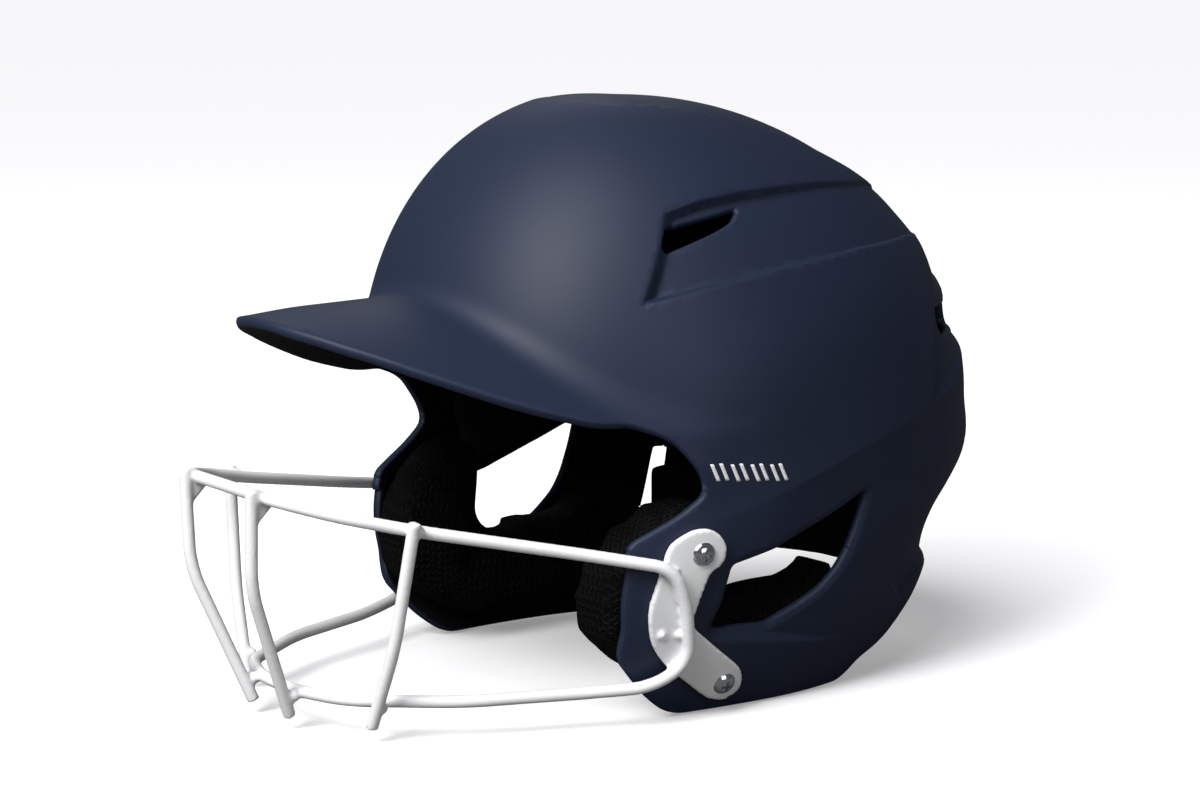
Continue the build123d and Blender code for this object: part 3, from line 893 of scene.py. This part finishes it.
# ---- guard: bent wires, plates and webs, joined and run together at the welds ----
guard = dict(
    wire=2.42, bend=9.0, sideLift=6.3,
    front=[(32.0, -156.8, 89.6), (52.0, -141.0, 85.0), (63.5, -117.0, 79.2), (84.5, -62.0, 68.0)],
    side=[(-32.0, 61.8), (-25.5, 48.0), (-20.5, 25.0), (-33.0, 15.8)],
    bottom=[(77.0, -56.0, 14.4), (61.5, -97.0, 14.0), (36.0, -130.0, 14.0), (13.0, -138.3, 14.0)],
    bars=[[(25.5, -162.0, 93.0), (23.3, -161.5, 56.5), (13.6, -141.6, 5.1)],
          [(68.2, -120.8, 83.5), (58.9, -124.0, 37.0), (46.4, -126.4, 5.6)]],
    barBend=8.0, beadRadius=2.65,
    beads=[(25.4, -159.4, 90.0), (15.4, -140.8, 13.2), (66.6, -118.6, 79.8), (48.6, -123.6, 13.2)],
    plate=[(-16.9, 75.1), (-11.7, 72.8), (-8.7, 68.0), (-8.4, 64.2), (-10.1, 60.6), (-14.4, 58.4),
           (-17.0, 49.9), (-19.3, 40.4), (-17.9, 37.1), (-6.2, 27.7), (5.4, 19.0), (7.6, 15.3),
           (8.7, 10.0), (2.1, 5.5), (-6.2, 8.0), (-14.6, 14.3), (-24.2, 21.3), (-30.7, 27.8),
           (-34.7, 34.2), (-36.8, 45.3), (-33.3, 58.9), (-32.0, 64.8), (-30.7, 68.8), (-27.7, 71.5),
           (-22.2, 74.4)],
    plateThick=2.95, nubs=[(-31.0, 36.5), (-24.5, 36.0), (-28.6, 60.0)], nubRadius=1.7,
    webLeg=8.0, webThick=1.6, voxel=0.68)


def skinFrame(y, z):
    y, z = np.array(y, float), np.array(z, float)
    step = 1.0
    slopeY = (formX(y + step, z) - formX(y - step, z)) / (2 * step)
    slopeZ = (formX(y, z + step) - formX(y, z - step)) / (2 * step)
    normal = np.stack([np.ones_like(slopeY), -slopeY, -slopeZ], -1)
    normal /= np.linalg.norm(normal, axis=-1)[..., None]
    return np.stack([formX(y, z), y, z], -1), normal


def bentWire(points, bend, radius, closed):
    corners = [Vector(p) for p in points]
    count = len(corners)
    stops = []
    for i, here in enumerate(corners):
        if not closed and i in (0, count - 1):
            other = corners[1] if i == 0 else corners[count - 2]
            reach = (other - here) / 3
            stops.append((here, here + reach, here + reach))
            continue
        before, after = corners[i - 1] - here, corners[(i + 1) % count] - here
        back = min(bend, 0.46 * before.length, 0.46 * after.length)
        start, end = here + before.normalized() * back, here + after.normalized() * back
        stops.append((start, start + before / 8, start + (here - start) * 0.6))
        stops.append((end, end + (here - end) * 0.6, end + after / 8))
    curve = bpy.data.curves.new("wire", "CURVE")
    curve.dimensions = "3D"
    curve.bevel_depth = radius
    curve.bevel_resolution = 5
    curve.resolution_u = 10
    curve.use_fill_caps = True
    spline = curve.splines.new("BEZIER")
    spline.bezier_points.add(len(stops) - 1)
    for knot, (co, left, right) in zip(spline.bezier_points, stops):
        knot.handle_left_type = knot.handle_right_type = "FREE"
        knot.co, knot.handle_left, knot.handle_right = co, left, right
    spline.use_cyclic_u = closed
    holder = bpy.data.objects.new("wire", curve)
    scene.collection.objects.link(holder)
    bpy.context.view_layer.update()
    mesh = bpy.data.meshes.new_from_object(holder.evaluated_get(bpy.context.evaluated_depsgraph_get()))
    bpy.data.objects.remove(holder)
    return mesh


# a patch of skin inside a side-view outline, raised by a thickness
def skinPatch(outline, cell, lift, thick, holes=()):
    bm = bmesh.new()
    low = np.min(outline, axis=0) - cell
    high = np.max(outline, axis=0) + cell
    size = high - low
    bmesh.ops.create_grid(bm, x_segments=max(int(size[0] / cell), 2),
                          y_segments=max(int(size[1] / cell), 2), size=0.5)
    for v in bm.verts:
        v.co = (50.0, low[0] + (v.co.x + 0.5) * size[0], low[1] + (v.co.y + 0.5) * size[1])
    for line in (outline,) + tuple(holes):
        scoreLine(bm, line, (1, 2), closed=True)
    middle = np.array([f.calc_center_median() for f in bm.faces])[:, 1:3]
    keep = within(outline, middle)
    for line in holes:
        keep &= ~within(line, middle)
    bmesh.ops.delete(bm, geom=[f for f, k in zip(bm.faces[:], keep) if not k], context="FACES")
    flat = coordinates(bm)
    place, normal = skinFrame(flat[:, 1], flat[:, 2])
    for v, co, n in zip(bm.verts, place, normal):
        v.co = co + n * lift
    normals = {v: Vector(n) for v, n in zip(bm.verts, normal)}
    lower = bm.verts[:]
    made = bmesh.ops.extrude_face_region(bm, geom=bm.faces[:])["geom"]
    raised = [g for g in made if isinstance(g, bmesh.types.BMVert)]
    nearest = BVHTree.FromPolygons([v.co for v in lower], [(i, i, i) for i in range(len(lower))])
    for v in raised:
        v.co += normals[lower[nearest.find_nearest(v.co)[2]]] * thick
    bmesh.ops.recalc_face_normals(bm, faces=bm.faces)
    return bm


def joinInto(target, source):
    mesh = bpy.data.meshes.new("part")
    source.to_mesh(mesh)
    source.free()
    target.from_mesh(mesh)


def mirrorAll(bm):
    copy = bmesh.ops.duplicate(bm, geom=bm.verts[:] + bm.edges[:] + bm.faces[:])["geom"]
    verts = [g for g in copy if isinstance(g, bmesh.types.BMVert)]
    bmesh.ops.scale(bm, vec=(-1, 1, 1), verts=verts)
    bmesh.ops.reverse_faces(bm, faces=[g for g in copy if isinstance(g, bmesh.types.BMFace)])


def addBall(bm, place, radius):
    bmesh.ops.create_icosphere(bm, subdivisions=2, radius=radius, matrix=Matrix.Translation(place))


def makeGuard():
    g = guard
    back = lambda points: [(x, y - shift, z) for x, y, z in points]
    sideY, sideZ = np.array([(y - shift, z) for y, z in g["side"]]).T
    run = formX(sideY, sideZ) + g["sideLift"]
    side = [(float(x), y, z) for x, y, z in zip(run, sideY, sideZ)]
    left = back(g["front"]) + side + back(g["bottom"])
    right = [(-x, y, z) for x, y, z in reversed(left)]
    whole = bmesh.new()
    for bar in g["bars"]:
        whole.from_mesh(bentWire(back(bar), g["barBend"], g["wire"], False))
    for bead in back(g["beads"]):
        addBall(whole, bead, g["beadRadius"])
    outline = softCorners(inRow(g["plate"]), 4.0, closed=True)
    joinInto(whole, skinPatch(outline, 2.0, 0.06, g["plateThick"]))
    for y, z in g["nubs"]:
        place, normal = skinFrame(y - shift, z)
        addBall(whole, Vector(place + normal * (g["plateThick"] + 0.2)), g["nubRadius"])
    # web in the corner between a centre bar and the loop
    top = back(g["bars"][0])[0]
    depth, height = top[1] + g["wire"] - 0.4, g["front"][0][2] - g["wire"] + 0.4
    corners = [(depth, height), (depth + g["webLeg"], height), (depth, height - g["webLeg"])]
    web = bmesh.new()
    face = web.faces.new([web.verts.new((top[0] - g["webThick"], y, z)) for y, z in corners])
    made = bmesh.ops.extrude_face_region(web, geom=[face])["geom"]
    moved = [v for v in made if isinstance(v, bmesh.types.BMVert)]
    bmesh.ops.translate(web, vec=(g["webThick"], 0, 0), verts=moved)
    bmesh.ops.recalc_face_normals(web, faces=web.faces)
    joinInto(whole, web)
    mirrorAll(whole)
    whole.from_mesh(bentWire(left + right, g["bend"], g["wire"], True))
    whole = throughModifier(whole, "REMESH", mode="VOXEL", voxel_size=g["voxel"], adaptivity=0.0)
    relax(whole, 3)
    return whole


# ---- pads: the foam blocks softened, the jaw pads swollen inside their cloth ----
pads = dict(
    jaw=dict(voxel=4.2, shrink=0.965, fill=0.8, cap=5.0, pressure=5.5, relax=1),
    liner=dict(voxel=2.6, shrink=0.985, fill=1.0, relax=5),
    skinGap=0.5, steps=20, quality=5)


def nodeShape(name, shrink):
    bm = bmesh.new()
    bm.from_mesh(nodes[name].data)
    bmesh.ops.scale(bm, vec=(1 / millimetre,) * 3, verts=bm.verts)
    bmesh.ops.remove_doubles(bm, verts=bm.verts, dist=0.01)
    middle = Vector(coordinates(bm).mean(axis=0))
    for v in bm.verts:
        v.co = middle + (v.co - middle) * shrink
    return bm


# keeps a pad clear of the shell's inner wall
def keepInside(bm):
    at = coordinates(bm)
    inX = formX(at[:, 1], at[:, 2])
    normal = skinFrame(at[:, 1], at[:, 2])[1]
    room = inX - (headForm["wall"] + pads["skinGap"]) / np.maximum(normal[:, 0], 0.35)
    for v, limit in zip(bm.verts, room):
        if limit > 40.0 and abs(v.co.x) > limit:
            v.co.x = math.copysign(limit, v.co.x)


def swell(bm, pressure, cap):
    start = coordinates(bm)
    bmesh.ops.scale(bm, vec=(millimetre,) * 3, verts=bm.verts)
    mesh = bpy.data.meshes.new("cover")
    bm.to_mesh(mesh)
    holder = bpy.data.objects.new("cover", mesh)
    scene.collection.objects.link(holder)
    cloth = holder.modifiers.new("cover", "CLOTH")
    cloth.settings.use_pressure = True
    cloth.settings.uniform_pressure_force = pressure
    cloth.settings.quality = pads["quality"]
    cloth.settings.effector_weights.gravity = 0.0
    for step in range(1, pads["steps"] + 1):
        scene.frame_set(step)
    made = holder.evaluated_get(bpy.context.evaluated_depsgraph_get()).data
    moved = np.array([v.co for v in made.vertices]) / millimetre - start
    far = np.linalg.norm(moved, axis=1)
    moved *= np.minimum(1.0, cap / np.maximum(far, 1e-6))[:, None]
    scene.frame_set(1)
    bpy.data.objects.remove(holder)
    for v, co in zip(bm.verts, start + moved):
        v.co = co


def makePad(node, settings):
    bm = nodeShape(node, settings["shrink"])
    bm = throughModifier(bm, "REMESH", mode="VOXEL", voxel_size=settings["voxel"], adaptivity=0.0)
    relax(bm, settings["relax"])
    if "pressure" in settings:
        swell(bm, settings["pressure"], settings["cap"])
    keepInside(bm)
    bm = throughModifier(bm, "SUBSURF", levels=1, render_levels=1)
    return bm


# ---- side marks: pairs of slanted strokes ----
mark = dict(start=(-12.5, 91.5), fall=0.09, bars=4, pitch=8.4, bar=5.2, height=6.5, slant=3.0,
            stroke=1.5, lift=0.05, thick=0.2)


def makeMark(skin):
    m = mark
    whole = bmesh.new()
    x0, z0 = m["start"][0] - shift, m["start"][1]
    for step in range(m["bars"]):
        front = x0 + step * m["pitch"]
        foot = z0 - m["fall"] * step * m["pitch"]
        for start in (front, front + m["bar"] - m["stroke"]):
            head, top = start - m["slant"], foot + m["height"]
            outline = [(start, foot), (start + m["stroke"], foot), (head + m["stroke"], top), (head, top)]
            joinInto(whole, skinPatch(softCorners(outline, 0.4, closed=True), 0.8, 0.0, m["thick"]))
    for v in whole.verts:
        off = v.co.x - float(formX(v.co.y, v.co.z))
        hit = skin.ray_cast(Vector((160.0, v.co.y, v.co.z)), Vector((-1, 0, 0)))[0]
        if hit:
            v.co.x = hit.x + m["lift"] + max(off, 0.0)
    return whole


# ---- run ----
scene.view_settings.view_transform = "Standard"
setCamera()
setSun()
setLamps()
setSky()
setFloor()

sheet = makeShell()
skinTree = BVHTree.FromBMesh(sheet)
addWall(sheet)
addPiece("helmetShell", sheet, [paints["shell"], paints["inside"]], ["outer_shell"])
hands = ("left", "right")
guardNodes = ["guard_loop"] + ["guard_" + part + "_" + hand
                               for part in ("bar_centre", "bar_side", "plate", "web") for hand in hands]
addPiece("faceGuard", makeGuard(), [paints["coat"]], guardNodes)
for hand in hands:
    addPiece("jawPad" + hand.title(), makePad("jaw_pad_" + hand, pads["jaw"]), [paints["mesh"]],
             ["jaw_pad_" + hand])
    for part in ("ear", "side"):
        addPiece(part + "Pad" + hand.title(), makePad(part + "_pad_" + hand, pads["liner"]),
                 [paints["foam"]], [part + "_pad_" + hand])
    markMesh = makeMark(skinTree)
    if hand == "right":
        bmesh.ops.scale(markMesh, vec=(-1, 1, 1), verts=markMesh.verts)
        bmesh.ops.reverse_faces(markMesh, faces=markMesh.faces)
    addPiece("sideMark" + hand.title(), markMesh, [paints["ink"]], ["side_mark_" + hand])
for part in ("front", "crown", "rear", "nape"):
    addPiece(part + "Pad", makePad(part + "_pad", pads["liner"]), [paints["foam"]],
             [part + "_pad"])
fastenerPaints = dict(screw="chrome", washer="rubber", tee_nut="zinc")
for name, obj in nodes.items():
    finish = next((paints[key] for start, key in fastenerPaints.items() if name.startswith(start)), None)
    if finish:
        if not obj.data.materials:
            obj.data.materials.append(finish)
        for slot in obj.material_slots:
            slot.material = finish
